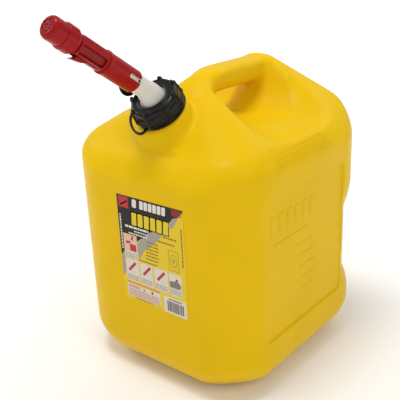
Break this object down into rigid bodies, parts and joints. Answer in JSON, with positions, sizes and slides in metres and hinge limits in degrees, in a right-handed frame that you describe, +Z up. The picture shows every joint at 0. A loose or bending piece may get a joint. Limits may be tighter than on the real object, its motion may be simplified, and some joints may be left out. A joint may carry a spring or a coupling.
{
  "type": "jerry can",
  "caption": "Moulded plastic fuel can with a hip-roof top, through handle, screw collar and a spring-closing pour spout.",
  "frame": {"origin": "centre of the flat base, on the surface that the can stands on", "axes": "+Z up; the labelled front and the spout face -Y; +X is to the right seen from the front"},
  "size_m": [0.266, 0.3898, 0.4406],
  "materials": {
    "can_yellow": "blow-moulded HDPE, satin",
    "label_paper": "printed paper label",
    "black_plastic": "moulded black polypropylene",
    "seal_rubber": "nitrile rubber",
    "tube_white": "natural polyethylene, translucent white",
    "steel": "plain steel",
    "spout_red": "moulded red polyethylene",
    "valve_plastic": "natural acetal"
  },
  "bodies": {
    "can": {"can_body": "can_yellow", "front_label": "label_paper"},
    "tether": {"tether_ring": "black_plastic", "stopper_disc": "black_plastic"},
    "spout": {"neck_gasket": "seal_rubber", "spout_tube": "tube_white", "vent_tube": "tube_white", "guide_peg": "steel", "inner_barrel": "spout_red", "barrel_o_ring": "seal_rubber", "guard_ring": "spout_red", "nozzle_tip": "spout_red", "valve_seat": "seal_rubber", "spring_washer": "steel", "return_spring": "steel"},
    "collar": {"collar_nut": "black_plastic"},
    "sleeve": {"outer_sleeve": "spout_red", "catch_hook": "spout_red", "cross_pin": "steel", "valve_carrier": "valve_plastic", "valve_rod": "steel", "valve_head": "valve_plastic", "valve_seal": "seal_rubber"}
  },
  "joints": [
    {"name": "spout_lift", "type": "slide", "parent": "can", "child": "spout", "axis": [0, -0.6157, 0.788], "range_m": [0, 0.0075]},
    {"name": "collar_turn", "type": "hinge", "parent": "spout", "child": "collar", "pos_m": [0, -0.1021, 0.3288], "axis": [0, -0.6157, 0.788], "range_deg": [0, 541]},
    {"name": "sleeve_slide", "type": "slide", "parent": "spout", "child": "sleeve", "axis": [0, 0.829, -0.5592], "range_m": [0, 0.014], "stiffness_N_per_m": 500, "springref_m": -0.012, "deforming": ["return_spring"]},
    {"name": "tether_turn", "type": "hinge", "parent": "can", "child": "tether", "pos_m": [0, -0.1021, 0.3288], "axis": [0, -0.6157, 0.788], "continuous": true}
  ],
  "couplings": [
    {"joint": "collar_turn", "follows": "spout_lift", "rad_per_m": 1256.6}
  ]
}
